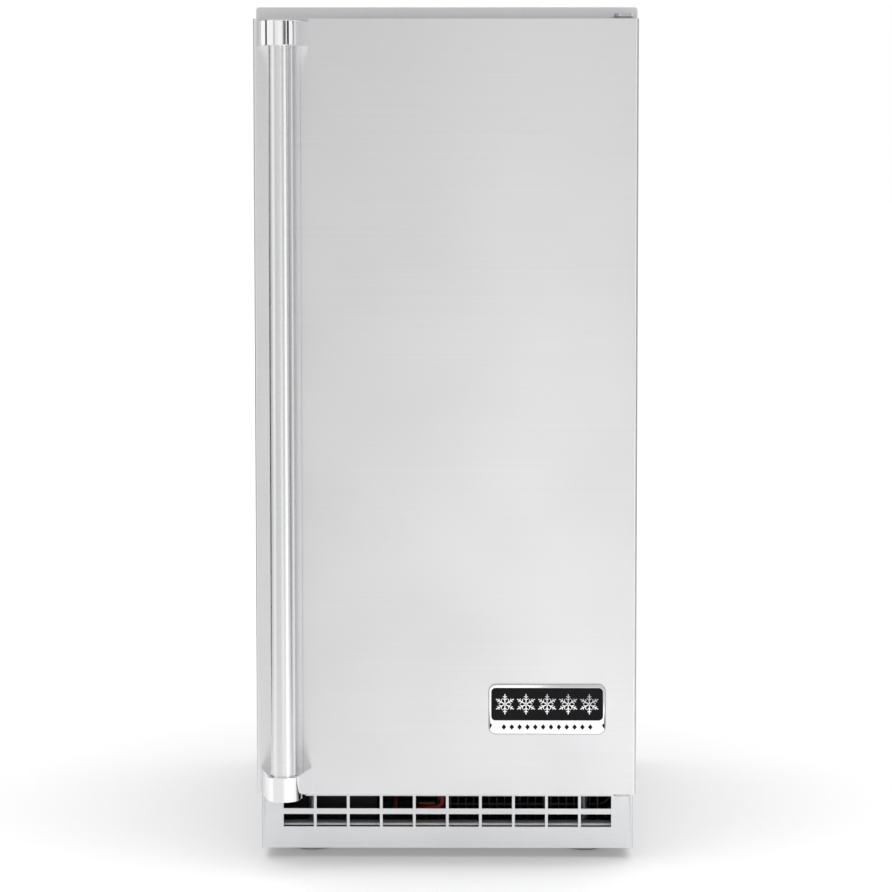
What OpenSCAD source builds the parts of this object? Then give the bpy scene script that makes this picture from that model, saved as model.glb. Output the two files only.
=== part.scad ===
// Under-counter clear ice maker with one full-height insulated door, hinged on its right.
// Frame: +Z up, the door faces -Y, +X is the viewer's right. The origin is the centre of the
// footprint, on the floor. Millimetres.

/* [Cabinet] */
// Width across the side panels
cab_w = 375; // [370:1:380]
// Height from the kick plate's lower edge to the top panel
cab_h = 845; // [840:1:880]
// Depth from the front frame to the heads of the rear screws
cab_d = 562; // [560:1:600]
// Height of the kick plate's lower edge above the floor
foot_h = 12; // [10:1:14]
// Thickness of the sheet steel
sheet = 1.2; // [1:0.1:1.5]
// How far the top panel stands proud of each side panel
top_lip = 1.3; // [1.3:0.1:1.4]

/* [Door] */
// Width of the door
door_w = 378; // [378:1:382]
// Height of the door
door_h = 768; // [760:1:770]
// Thickness of the door without its gasket
door_t = 40; // [38:1:42]
// Space between the door's back and the front frame, which the gasket fills
door_gap = 8; // [8:0.5:9]
// Gap between the top of the door and the top of the cabinet
door_drop = 12.5; // [12:0.5:14]
// Radius of the door skin's upright front edges
door_edge_r = 4; // [3:0.5:5]

/* [Handle] */
// How far the handle stands out from the door
handle_reach = 60; // [55:1:65]
// Diameter of the handle's tube
handle_d = 24; // [22:0.5:25]
// Diameter of the round nose of each bracket
bracket_d = 32; // [31:0.5:33]
// Width of each bracket where it meets the door
bracket_w = 50.5; // [48:0.5:54]
// Height of each bracket
bracket_h = 24.4; // [22:0.2:28]
// Distance from the door's left edge to the middle of the brackets
handle_inset = 29.3; // [28:0.1:32]

/* [Kick plate] */
// Number of slots in each row
slot_count = 10; // [6:1:10]
// Width of one slot
slot_w = 30.4; // [26:0.2:31]
// Height of one slot
slot_h = 12.6; // [10:0.2:14]
// Width of the bar between two slots
slot_bar = 3; // [2.5:0.1:4]
// Height of the lower row's lower edge above the kick plate's own
slot_rise = 22; // [18:0.1:22]
// Height of the bar between the two rows
row_bar = 6; // [5:0.5:8]

/* [Ice bin] */
// Width of the bin's cavity
bin_w = 300; // [290:1:304]
// Height of the bin's sill above the floor
sill_z = 318; // [300:1:330]
// Height of the bin's floor above the ground
bin_floor_z = 225; // [220:1:230]
// Wall thickness of the bin's liner
liner_t = 2.5; // [2:0.5:3]

/* [Ice making] */
// Columns of freezing cups
cup_cols = 5; // [3:1:5]
// Rows of freezing cups
cup_rows = 6; // [4:1:6]
// Outside radius of a freezing cup
cup_r = 17; // [15:0.5:18]

/* [Hidden] */
$fn = 48;

// Planes, from front to back
overall_d = handle_reach + door_t + door_gap + cab_d;
rear_y = overall_d / 2;
frame_y = rear_y - cab_d;
door_back_y = frame_y - door_gap;
door_front_y = door_back_y - door_t;
screw_head = 1.6;
back_y = rear_y - screw_head;

// Levels, from the floor up
top_z = foot_h + cab_h;
door_top_z = top_z - door_drop;
door_low_z = door_top_z - door_h;
kick_top_z = foot_h + 82;
pan_z = foot_h + 2;
pan_lip_z = foot_h + slot_rise + 3.5;
bay_top_z = bin_floor_z - liner_t - 30;
bin_top_z = top_z - 45;

// Side to side
half_w = cab_w / 2;
bin_half = bin_w / 2;
bin_back_y = rear_y - 73;
sill_back_y = frame_y + 33.5;
corner_r = 20;

// Return flanges of the side panels, and the screws that go into them
flange_w = 12;
screw_x = half_w - 6;
screw_hole_r = 2.1;
kick_screw_z = kick_top_z - 8;
function rear_screw_levels() = [30, bay_top_z, bay_top_z + 30, 350, 500, 650, top_z - 22];

// Door hinge axis, and the pin that turns in the door's bushes
hinge_x = door_w / 2 - 14;
hinge_y = door_front_y + door_t / 2;
pin_r = 4;
run_gap = 0.05;
hinge_plate = 3;
lower_screw_z = kick_top_z + 8;
upper_screw_z = top_z - 24;
function hinge_screw_xs() = [hinge_x - 36, hinge_x - 22];

// Handle
handle_x = -door_w / 2 + handle_inset;
handle_y = door_front_y - handle_reach + bracket_d / 2;
bracket_inset_z = 3;
tube_sink = 14;
bracket_screw_x = 16;

// Leveling feet
foot_x = 140;
foot_front_y = frame_y + 62;
foot_rear_y = rear_y - 45;
foot_pad_r = 16;
stud_r = 4;
stud_top_z = 80;
nut_r = 8;

// Freezing section
shroud_half = 140;
shroud_front_y = frame_y + 152;
shroud_back_y = bin_back_y - 7;
shroud_low_z = bin_top_z - 252;
shroud_top_z = bin_top_z - 6;
sump_top_z = shroud_low_z + 80;
evap_z = shroud_top_z - 34;
cup_h = 34;
cup_pitch_x = 40;
cup_pitch_y = 42;
evap_x = 20;
evap_y = 100;
curtain_y = shroud_front_y - 8;
curtain_z = shroud_low_z + 175;
curtain_h = 95;
rod_r = 2.5;
coil_r = 4.7;
coil_half = cup_cols * cup_pitch_x / 2 - 24;
spray_x = evap_x - (cup_cols - 1) / 2 * cup_pitch_x - 8;
spray_y = evap_y - cup_rows / 2 * cup_pitch_y + 4;

// Controls
fascia_low_z = bin_top_z - 41;
fascia_y = frame_y + 3;
button_r = 8;
button_z = bin_top_z - 20.5;
power_x = -60;
clean_x = -25;

// Raised middle of the door's inner panel
plug_w = bin_w - 22;
plug_low = sill_z + 17;
plug_h = fascia_low_z - 11 - plug_low;
plug_deep = 18;

// Scoop, which stands in a tray on the left wall of the bin
scoop_y = frame_y + 92;
scoop_z = 345;
scoop_w = 78;
scoop_deep = 42;
scoop_bowl_h = 95;
scoop_wall = 2;
scoop_x = -bin_half + 6;

// Machine bay
compressor_x = 90;
compressor_y = 215;
condenser_x = 72;
condenser_y = frame_y + 100;
condenser_half = 92;
fan_y = condenser_y + 46;
fan_z = 102;
fan_r = 70;
drain_x = -60;
drain_y = 150;
outlet_z = 95;
recess_x0 = -150;
recess_x1 = -30;
recess_z0 = 62;
recess_z1 = 128;
recess_y = back_y - 38;
inlet_x = -115;
gland_x = 120;
gland_z = 60;
gland_bore_r = 4.2;
inlet_r = 5.55;
condenser_low = pan_z + 7;
condenser_rows = 5;
condenser_step = (bay_top_z - 8 - condenser_low) / condenser_rows;

// Pipes that rise behind the bin: X, Y, the level where each turns forward, and its radius
function risers() = [
    [-92, 290, evap_z + 3 + coil_r, 3.2],
    [-112, 305, evap_z + 3 + coil_r, 4.2],
    [-128, 290, 700, 3.6]
];

// Badge on the door
badge_x = 100;
badge_z = door_low_z + 86;
badge_w = 115.5;
badge_h = 49.4;

// ---- Shared shapes ----

// A block between two corners
module block(lo, hi) {
    translate(lo) cube(hi - lo);
}

// A rectangle with true arcs at its corners, about its middle
module rounded(w, h, r) {
    square([w - 2 * r, h], center = true);
    square([w, h - 2 * r], center = true);
    for (sx = [-1, 1], sy = [-1, 1])
        translate([sx * (w / 2 - r), sy * (h / 2 - r)]) circle(r);
}

// A profile drawn in X and Z, carried from y0 to y1
module along_y(y0, y1) {
    translate([0, y1, 0]) rotate([90, 0, 0]) linear_extrude(y1 - y0) children();
}

// Cylinders between two values on each axis
module rod_x(x0, x1, r) {
    translate([x0, 0, 0]) rotate([0, 90, 0]) cylinder(r = r, h = x1 - x0);
}
module rod_y(y0, y1, r) {
    translate([0, y1, 0]) rotate([90, 0, 0]) cylinder(r = r, h = y1 - y0);
}
module rod_z(z0, z1, r) {
    translate([0, 0, z0]) cylinder(r = r, h = z1 - z0);
}

// A pan-head screw whose head sits on a surface at the origin and looks along +Z
module screw(r = 2, length = 8, head_r = 4, head_h = screw_head) {
    difference() {
        union() {
            cylinder(r = head_r, h = head_h);
            translate([0, 0, -length]) cylinder(r = r, h = length + 0.1);
        }
        for (turn = [0, 90])
            rotate(turn) translate([-head_r * 0.6, -0.4, head_h - 0.7]) cube([head_r * 1.2, 0.8, 1]);
    }
}

// A route through corner points, each corner rounded to a bend radius
function unit(v) = v / norm(v);
function bend_points(a, b, c, r, n) =
    let (
        u = unit(a - b),
        v = unit(c - b),
        half = acos(u * v) / 2,
        centre = b + unit(u + v) * r / sin(half),
        start = b + u * r / tan(half),
        finish = b + v * r / tan(half),
        e = unit(start - centre),
        g = finish - centre,
        f = unit(g - e * (g * e)),
        sweep = 180 - 2 * half
    )
    [for (k = [0:n]) centre + r * (e * cos(sweep * k / n) + f * sin(sweep * k / n))];
function route(points, r, n) =
    concat(
        [points[0]],
        [for (i = [1:1:len(points) - 2]) each bend_points(points[i - 1], points[i], points[i + 1], r, n)],
        [points[len(points) - 1]]
    );
function heading(path, i) = unit(path[min(i + 1, len(path) - 1)] - path[max(i - 1, 0)]);
function across(v) = unit(cross(v, abs(v.z) < 0.9 ? [0, 0, 1] : [1, 0, 0]));
function slid(s, t) = unit(s - t * (s * t));

// A round pipe along a route
module pipe(points, r, bend, sides = 10, n = 5) {
    path = route(points, bend, n);
    last = len(path) - 1;
    sideways = [
        for (i = 0, s = across(heading(path, 0)); i <= last;
             i = i + 1, s = i <= last ? slid(s, heading(path, i)) : s) s
    ];
    rings = [
        for (i = [0:last], k = [0:sides - 1])
            let (a = 360 * k / sides, t = heading(path, i), s = sideways[i])
            path[i] + r * (s * cos(a) + cross(t, s) * sin(a))
    ];
    walls = [
        for (i = [0:last - 1], k = [0:sides - 1])
            let (m = (k + 1) % sides)
            [i * sides + k, (i + 1) * sides + k, (i + 1) * sides + m, i * sides + m]
    ];
    ends = [
        [for (k = [0:sides - 1]) k],
        [for (k = [sides - 1:-1:0]) last * sides + k]
    ];
    polyhedron(points = rings, faces = concat(walls, ends), convexity = 10);
}

// ---- Cabinet ----

// One side panel: a sheet with a return flange along its front and its rear
module side_panel(side) {
    front = frame_y + sheet;
    rear = back_y - sheet;
    edge = half_w - flange_w;
    color("silver") difference() {
        translate([0, 0, foot_h]) linear_extrude(cab_h - sheet) polygon([
            for (p = [
                [half_w, front], [half_w, rear], [edge, rear], [edge, rear - sheet],
                [half_w - sheet, rear - sheet], [half_w - sheet, front + sheet],
                [edge, front + sheet], [edge, front]
            ]) [p.x * side, p.y]
        ]);
        for (z = rear_screw_levels())
            translate([side * screw_x, 0, z]) rod_y(rear - sheet - 1, rear + 1, screw_hole_r);
        translate([side * screw_x, 0, kick_screw_z]) rod_y(front - 1, front + sheet + 1, screw_hole_r);
    }
}

// The top panel, with a slot in its front flange for the upper hinge
module top_panel() {
    w = cab_w + 2 * top_lip;
    lip_y = frame_y - 2;
    color("silver") difference() {
        along_y(lip_y, back_y) translate([0, top_z - 15]) rounded(w, 30, 3);
        along_y(lip_y + sheet, back_y + 1)
            translate([0, top_z - 15 - sheet / 2]) square([w - 2 * sheet, 30 - sheet], center = true);
        block([-w, lip_y + sheet, 0], [w, back_y + 1, top_z - 10]);
        block([-w, lip_y - 1, 0], [w, lip_y + sheet + 1, top_z - 14]);
        block([hinge_x - 9, lip_y - 1, top_z - 10.5], [hinge_x + 9, lip_y + sheet + 1, top_z - 6.5]);
    }
}

// The insulated part's outer back
module back_panel() {
    color("silver") difference() {
        block([-half_w + 0.1, back_y - sheet, bay_top_z + 18], [half_w - 0.1, back_y, top_z - sheet]);
        rear_screw_holes();
    }
}

// The holes that the rear screws pass through
module rear_screw_holes() {
    for (side = [-1, 1], z = rear_screw_levels())
        translate([side * screw_x, 0, z]) rod_y(back_y - sheet - 1, back_y + 1, screw_hole_r);
}

// The machine bay's rear panel: vent slots, a recess for the connections, and the cord's hole
module rear_service_panel() {
    low = foot_h + 0.5;
    high = bay_top_z + 17;
    color("silver") difference() {
        union() {
            block([-half_w + 0.1, back_y - sheet, low], [half_w - 0.1, back_y, high]);
            block([recess_x0 - sheet, recess_y - sheet, recess_z0 - sheet],
                  [recess_x1 + sheet, back_y - 0.1, recess_z1 + sheet]);
        }
        block([recess_x0, recess_y, recess_z0], [recess_x1, back_y + 1, recess_z1]);
        rear_screw_holes();
        for (i = [0:6], z = [130, 158])
            translate([20 + i * 22, 0, z]) along_y(back_y - 5, back_y + 1) rounded(6, 20, 2.9);
        for (i = [0:5])
            translate([-140 + i * 22, 0, 163]) along_y(back_y - 5, back_y + 1) rounded(6, 20, 2.9);
        translate([gland_x, 0, gland_z]) rod_y(back_y - 5, back_y + 1, 8.1);
        translate([inlet_x, 0, outlet_z]) rod_y(recess_y - 5, recess_y + 1, 9.1);
        translate([drain_x, 0, outlet_z]) rod_y(recess_y - 5, recess_y + 1, 8.1);
    }
}

// The sheet that the door's gasket meets, with the bin's mouth in it
module front_frame() {
    mouth_h = bin_top_z - sill_z;
    color("silver") difference() {
        block([-half_w + 0.1, frame_y, kick_top_z + 0.5], [half_w - 0.1, frame_y + sheet, top_z - 14.2]);
        translate([0, 0, sill_z + mouth_h / 2])
            along_y(frame_y - 1, frame_y + sheet + 1) rounded(bin_w, mouth_h, corner_r);
        for (x = hinge_screw_xs(), z = [lower_screw_z, upper_screw_z])
            translate([x, 0, z]) rod_y(frame_y - 1, frame_y + sheet + 1, screw_hole_r);
    }
}

// The slotted front plate below the door, with its lower edge folded back
module kick_plate() {
    w = cab_w - 1;
    span = slot_count * slot_w + (slot_count - 1) * slot_bar;
    fold_half = half_w - flange_w - 1;
    color("silver") difference() {
        union() {
            block([-w / 2, frame_y, foot_h], [w / 2, frame_y + sheet, kick_top_z]);
            block([-fold_half, frame_y, foot_h], [fold_half, frame_y + 14, foot_h + sheet]);
        }
        for (row = [0, 1], i = [0:slot_count - 1]) {
            x = -span / 2 + i * (slot_w + slot_bar);
            z = foot_h + slot_rise + row * (slot_h + row_bar);
            block([x, frame_y - 1, z], [x + slot_w, frame_y + sheet + 1, z + slot_h]);
        }
        for (side = [-1, 1])
            translate([side * screw_x, 0, kick_screw_z])
                rod_y(frame_y - 1, frame_y + sheet + 1, screw_hole_r);
    }
}

// The chassis: a tray with a low front lip, and a nut welded over each leveling hole
module base_pan() {
    w = half_w - 2;
    front = frame_y + 16;
    rear = back_y - 2 * sheet - 0.3;
    t = 1.5;
    color("gainsboro") difference() {
        union() {
            block([-w, front, pan_z], [w, rear, pan_z + t]);
            block([-w, front, pan_z], [w, front + t, pan_lip_z]);
            block([-w, front, pan_lip_z - t], [w, front + 7, pan_lip_z]);
            for (side = [-1, 1])
                block([side > 0 ? w - t : -w, front, pan_z], [side > 0 ? w : -w + t, rear, foot_h + 30]);
            block([-w, rear - t, pan_z], [w, rear, foot_h + 30]);
            for (x = [-foot_x, foot_x], y = [foot_front_y, foot_rear_y])
                translate([x, y, pan_z + t - 0.1]) cylinder(r = nut_r, h = 8, $fn = 6);
        }
        for (x = [-foot_x, foot_x], y = [foot_front_y, foot_rear_y])
            translate([x, y, 0]) rod_z(0, 60, stud_r + run_gap);
    }
}

// Screws of the kick plate, the rear panels and the hinges
module cabinet_screws() {
    color("lightgray") {
        for (side = [-1, 1]) {
            translate([side * screw_x, frame_y, kick_screw_z]) rotate([90, 0, 0])
                screw(length = 2 * sheet);
            for (z = rear_screw_levels())
                translate([side * screw_x, back_y, z]) rotate([-90, 0, 0])
                    screw(length = 2 * sheet);
        }
        for (x = hinge_screw_xs()) {
            translate([x, frame_y - hinge_plate, lower_screw_z]) rotate([90, 0, 0])
                screw(length = hinge_plate + sheet);
            translate([x, frame_y, upper_screw_z]) rotate([90, 0, 0])
                screw(length = sheet + hinge_plate);
        }
    }
}

// Rigid foam between the liner and the outer sheets, with channels for the pipes
module cabinet_insulation() {
    w = half_w - sheet - 0.2;
    front = frame_y + 2 * sheet + 0.2;
    color("khaki") difference() {
        block([-w, front, bay_top_z], [w, back_y - 2 * sheet - 0.2, top_z - sheet - 0.3]);
        liner_solid(liner_t + 0.2);
        translate([drain_x, drain_y, 0]) rod_z(bay_top_z - 1, bin_floor_z, 11);
        pipe_channels();
        block([hinge_x - 48, front - 1, upper_screw_z - 10], [hinge_x + 8, frame_y + 12, top_z]);
    }
}

// The bores in the foam, the liner and the shroud that the pipes pass through
module pipe_channels() {
    for (c = risers()) {
        translate([c[0], c[1], 0]) rod_z(bay_top_z - 1, c[2] + c[3] + 3, c[3] + 3.5);
        translate([c[0], 0, c[2]]) rod_y(shroud_back_y - 10, c[1], c[3] + 2);
    }
}

// The cavity grown outwards by a margin: the bin behind the sill, and its mouth
module liner_solid(margin) {
    tall = bin_top_z - bin_floor_z;
    mouth = bin_top_z - sill_z;
    translate([0, 0, bin_floor_z + tall / 2]) along_y(sill_back_y - margin, bin_back_y + margin)
        rounded(bin_w + 2 * margin, tall + 2 * margin, corner_r + margin);
    translate([0, 0, sill_z + mouth / 2]) along_y(frame_y + sheet, sill_back_y)
        rounded(bin_w + 2 * margin, mouth + 2 * margin, corner_r + margin);
}

// The moulded lining of the bin
module bin_liner() {
    tall = bin_top_z - bin_floor_z;
    mouth = bin_top_z - sill_z;
    color("white") difference() {
        liner_solid(liner_t);
        translate([0, 0, bin_floor_z + tall / 2])
            along_y(sill_back_y, bin_back_y) rounded(bin_w, tall, corner_r);
        translate([0, 0, sill_z + mouth / 2])
            along_y(frame_y, sill_back_y + 1) rounded(bin_w, mouth, corner_r);
        translate([drain_x, drain_y, 0]) rod_z(bin_floor_z - 5, bin_floor_z + 5, 10.2);
        pipe_channels();
    }
}

// ---- Hinges ----

// Hinge tongue: a plate with a round end about the pin
module hinge_tongue(back) {
    linear_extrude(hinge_plate) {
        translate([hinge_x, hinge_y]) circle(8);
        translate([hinge_x - 8, hinge_y]) square([16, back - hinge_y]);
    }
}

// The upper hinge: its tongue comes out through the top panel's lip
module upper_hinge() {
    z = top_z - 10;
    back = frame_y + sheet;
    color("dimgray") difference() {
        union() {
            translate([0, 0, z]) hinge_tongue(frame_y + 1);
            block([hinge_x - 45, frame_y - 0.8, z], [hinge_x, back + 9, z + hinge_plate]);
            block([hinge_x - 45, back, upper_screw_z - 8], [hinge_x - 2, back + hinge_plate, z + 1]);
            translate([hinge_x, hinge_y, 0]) rod_z(z - 14, z + 0.5, pin_r);
        }
        for (x = hinge_screw_xs())
            translate([x, 0, upper_screw_z]) rod_y(back - 1, back + hinge_plate + 1, screw_hole_r);
    }
}

// The lower hinge: it carries the door and is screwed to the front frame
module lower_hinge() {
    z = door_low_z - 4.5;
    color("dimgray") difference() {
        union() {
            translate([0, 0, z]) hinge_tongue(frame_y);
            block([hinge_x - 42, frame_y - hinge_plate, z], [hinge_x + 8, frame_y, z + hinge_plate]);
            block([hinge_x - 42, frame_y - hinge_plate, z], [hinge_x - 14, frame_y, lower_screw_z + 5.5]);
            translate([hinge_x, hinge_y, 0]) rod_z(z + 0.5, z + 15.5, pin_r);
        }
        for (x = hinge_screw_xs())
            translate([x, 0, lower_screw_z]) rod_y(frame_y - hinge_plate - 1, frame_y + 1, screw_hole_r);
    }
}

// ---- Door ----

// The folded stainless front of the door
module door_skin() {
    w = door_w;
    deep = door_t + 20;
    color("gainsboro") difference() {
        translate([0, 0, door_low_z]) linear_extrude(door_h)
            translate([0, door_front_y + deep / 2]) rounded(w, deep, door_edge_r);
        translate([0, door_front_y + deep / 2, door_low_z - 1]) linear_extrude(door_h + 2)
            rounded(w - 2 * sheet, deep - 2 * sheet, door_edge_r - sheet);
        block([-w, door_back_y - 3, 0], [w, door_front_y + deep + 1, top_z]);
        for (p = bracket_screws())
            translate([p.x, 0, p.y])
                rod_y(door_front_y - 1, door_front_y + sheet + 1, screw_hole_r + 0.5);
    }
}

// The caps that close the skin's ends and carry the hinge bushes
module door_end_caps() {
    w = door_w / 2 - sheet - 0.1;
    front = door_front_y + sheet + 0.1;
    t = 14;
    color("darkgray") for (z = [door_low_z + 0.6, door_top_z - 0.6 - t])
        difference() {
            translate([0, 0, z]) linear_extrude(t) difference() {
                translate([0, front + 40]) rounded(2 * w, 80, door_edge_r - sheet);
                translate([-w - 1, door_back_y - 3]) square([2 * w + 2, 100]);
            }
            translate([hinge_x, hinge_y, 0]) rod_z(z - 1, z + t + 1, 7.1);
            for (q = bracket_screws())
                translate([q.x, 0, q.y]) rod_y(front - 1, front + 6, 6);
        }
}

// Rigid foam in the door and in the raised middle of its inner panel
module door_insulation() {
    w = door_w / 2 - sheet - 0.3;
    back = door_back_y - 3.2;
    color("khaki") difference() {
        union() {
            block([-w, door_front_y + sheet + 0.3, door_low_z + 15], [w, back, door_top_z - 15]);
            translate([0, 0, plug_low + plug_h / 2]) along_y(back - 1, door_back_y + plug_deep - 2.7)
                rounded(plug_w - 5.4, plug_h - 5.4, corner_r - 2.7);
        }
        for (p = bracket_screws())
            translate([p.x, 0, p.y]) rod_y(door_front_y, door_front_y + 8, 6);
        for (x = [-door_w / 2, door_w / 2 - 6])
            translate([x, door_front_y, 0]) cube([6, 6, top_z]);
    }
}

// The inner panel: a flat rim and a raised middle that reaches into the bin's mouth
module door_liner() {
    w = door_w / 2 - 1;
    color("white") difference() {
        union() {
            block([-w, door_back_y - 3, door_low_z + 1], [w, door_back_y, door_top_z - 1]);
            translate([0, 0, plug_low + plug_h / 2]) along_y(door_back_y - 3, door_back_y + plug_deep)
                rounded(plug_w, plug_h, corner_r);
        }
        translate([0, 0, plug_low + plug_h / 2]) along_y(door_back_y - 4, door_back_y + plug_deep - 2.5)
            rounded(plug_w - 5, plug_h - 5, corner_r - 2.5);
        translate([hinge_x, hinge_y, 0]) rod_z(door_low_z - 1, door_top_z + 1, 8.6);
    }
}

// The seal: a hollow-fronted ring that stops just short of the front frame
module door_gasket() {
    w = 2 * (hinge_x - 3);
    low = door_low_z + 32;
    high = door_top_z - 20;
    mid = (low + high) / 2;
    color("gray") difference() {
        translate([0, 0, mid]) along_y(door_back_y, frame_y - 0.3) rounded(w, high - low, 8);
        translate([0, 0, mid]) along_y(door_back_y - 1, frame_y + 1) rounded(w - 26, high - low - 26, 4);
        difference() {
            translate([0, 0, mid])
                along_y(door_back_y + 3, door_back_y + 4.5) rounded(w + 2, high - low + 2, 8);
            translate([0, 0, mid]) along_y(door_back_y, frame_y) rounded(w - 3, high - low - 3, 6.5);
        }
    }
}

// Flanged bushes at both ends of the door
module door_bushes() {
    color("ivory") for (end = [0, 1]) {
        z0 = end ? door_top_z - 14 : door_low_z - 1.2;
        z1 = end ? door_top_z + 2.2 : door_low_z + 14;
        face = end ? door_top_z - 0.6 : door_low_z - 1.2;
        thick = end ? 2.8 : 1.8;
        translate([hinge_x, hinge_y, 0]) difference() {
            union() {
                rod_z(z0, z1, 7);
                rod_z(face, face + thick, 8.5);
            }
            rod_z(end ? z0 + 2 : z0 - 1, end ? z1 + 1 : z1 - 2, pin_r + run_gap);
        }
    }
}

// ---- Handle ----

function bracket_levels() = [
    door_low_z + bracket_inset_z + bracket_h / 2,
    door_top_z - bracket_inset_z - bracket_h / 2
];

function bracket_screws() = [
    for (z = bracket_levels(), side = [-1, 1]) [handle_x + side * bracket_screw_x, z]
];

// The tube, which sinks into a socket in each bracket
module handle_tube() {
    z = bracket_levels();
    inset = bracket_h / 2 - tube_sink;
    color("lightgray") translate([handle_x, handle_y, 0]) difference() {
        rod_z(z[0] + inset, z[1] - inset, handle_d / 2);
        rod_z(z[0] + inset - 1, z[1] - inset + 1, handle_d / 2 - 1.5);
    }
}

// A bracket: a wide foot on the door that narrows to a round nose about the tube
module handle_bracket(z, open_up) {
    nose = bracket_d / 2;
    reach = door_front_y - handle_y;
    socket = open_up ? bracket_h / 2 - tube_sink : -bracket_h / 2 - 1;
    color("white") translate([handle_x, 0, z]) difference() {
        translate([0, 0, -bracket_h / 2]) linear_extrude(bracket_h) {
            translate([0, handle_y]) circle(nose);
            polygon([
                [-bracket_w / 2, door_front_y], [-bracket_w / 2, door_front_y - 2.5],
                [-nose * 0.96, door_front_y - reach * 0.86], [0, handle_y - 2],
                [nose * 0.96, door_front_y - reach * 0.86], [bracket_w / 2, door_front_y - 2.5],
                [bracket_w / 2, door_front_y]
            ]);
        }
        translate([0, handle_y, socket]) cylinder(r = handle_d / 2 + run_gap, h = tube_sink + 1);
        for (side = [-1, 1])
            translate([side * bracket_screw_x, 0, 0]) rod_y(door_front_y - 12, door_front_y + 1, 2.55);
    }
}
module handle_bracket_upper() {
    handle_bracket(bracket_levels()[1], false);
}
module handle_bracket_lower() {
    handle_bracket(bracket_levels()[0], true);
}

// Two screws from inside the door through the skin into each bracket
module handle_screws() {
    color("gray") for (p = bracket_screws())
        translate([p.x, 0, p.y]) {
            rod_y(door_front_y - 11, door_front_y + sheet + 0.1, 2.5);
            rod_y(door_front_y + sheet, door_front_y + sheet + 3, 5);
        }
}

// ---- Badge ----

// The plated frame of the badge, with a shallow field for the inset
module badge_plate() {
    color("gainsboro") translate([badge_x, 0, badge_z]) difference() {
        along_y(door_front_y - 2, door_front_y) rounded(badge_w, badge_h, 7);
        translate([0, 0, 5.2]) along_y(door_front_y - 3, door_front_y - 0.8) rounded(badge_w - 5, 32, 4);
    }
}

// The dark field of the badge
module badge_inset() {
    color("black") translate([badge_x, 0, badge_z + 5.2])
        along_y(door_front_y - 1.5, door_front_y - 0.8) rounded(badge_w - 5.2, 31.8, 3.9);
}

// ---- Leveling feet ----

// A threaded stud, drawn as stacked rings, on a round pad
module leveler(x, y) {
    pitch = 1.25;
    depth = 0.6;
    first = 9;
    turns = floor((stud_top_z - first - 2) / pitch);
    color("dimgray") translate([x, y, 0]) {
        rotate_extrude() polygon(concat(
            [[0, 0], [foot_pad_r - 2, 0], [foot_pad_r, 2], [foot_pad_r, 5]],
            [[stud_r + 3, 8], [stud_r - depth, 8]],
            [for (i = [0:turns - 1], p = [0, 1])
                [p == 0 ? stud_r - depth : stud_r, first + (i + p / 2) * pitch]],
            [[stud_r - depth, first + turns * pitch], [stud_r - depth, stud_top_z], [0, stud_top_z]]
        ));
    }
}
module leveler_front_left() {
    leveler(-foot_x, foot_front_y);
}
module leveler_front_right() {
    leveler(foot_x, foot_front_y);
}
module leveler_rear_left() {
    leveler(-foot_x, foot_rear_y);
}
module leveler_rear_right() {
    leveler(foot_x, foot_rear_y);
}

// ---- Ice making ----

// The white housing round the evaporator, open below and at its lower front
module freeze_shroud() {
    t = 2.5;
    inner = shroud_half - t;
    color("whitesmoke") {
        for (side = [-1, 1]) {
            block([side > 0 ? inner : -shroud_half, shroud_front_y, shroud_low_z],
                  [side > 0 ? shroud_half : -inner, shroud_back_y, shroud_top_z]);
            block([side > 0 ? inner - 6 : -inner, shroud_front_y, shroud_low_z],
                  [side > 0 ? inner : 6 - inner, shroud_back_y, shroud_low_z + 1.8]);
            difference() {
                block([side > 0 ? inner : -shroud_half, curtain_y - 6, curtain_z - 8],
                      [side > 0 ? shroud_half : -inner, shroud_front_y + 1, curtain_z + 8]);
                translate([0, curtain_y, curtain_z])
                    rod_x(-shroud_half - 1, shroud_half + 1, rod_r + 0.1);
            }
        }
        difference() {
            block([-shroud_half, shroud_back_y - t, shroud_low_z],
                  [shroud_half, shroud_back_y, shroud_top_z]);
            pipe_channels();
        }
        block([-shroud_half, shroud_front_y, shroud_top_z - t],
              [shroud_half, shroud_back_y, shroud_top_z]);
        block([-shroud_half, shroud_front_y, curtain_z + 4],
              [shroud_half, shroud_front_y + t, shroud_top_z]);
    }
}

function cup_spots() = [
    for (i = [0:cup_cols - 1], j = [0:cup_rows - 1])
        [evap_x + (i - (cup_cols - 1) / 2) * cup_pitch_x, evap_y + (j - (cup_rows - 1) / 2) * cup_pitch_y]
];

// A copper plate with cups that open downwards
module evaporator_plate() {
    w = cup_cols * cup_pitch_x;
    d = cup_rows * cup_pitch_y;
    color("chocolate") difference() {
        union() {
            block([evap_x - w / 2, evap_y - d / 2, evap_z], [evap_x + w / 2, evap_y + d / 2, evap_z + 3]);
            for (p = cup_spots()) translate([p.x, p.y, 0]) rod_z(evap_z - cup_h, evap_z + 1, cup_r);
            for (sx = [-1, 1], sy = [-1, 1])
                translate([evap_x + sx * (w / 2 - 5), evap_y + sy * (d / 2 - 5), 0])
                    rod_z(evap_z + 2, shroud_top_z - 2.5, 3);
        }
        for (p = cup_spots())
            translate([p.x, p.y, evap_z - cup_h - 0.01])
                cylinder(r1 = cup_r - 1, r2 = cup_r - 3, h = cup_h);
    }
}

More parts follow.
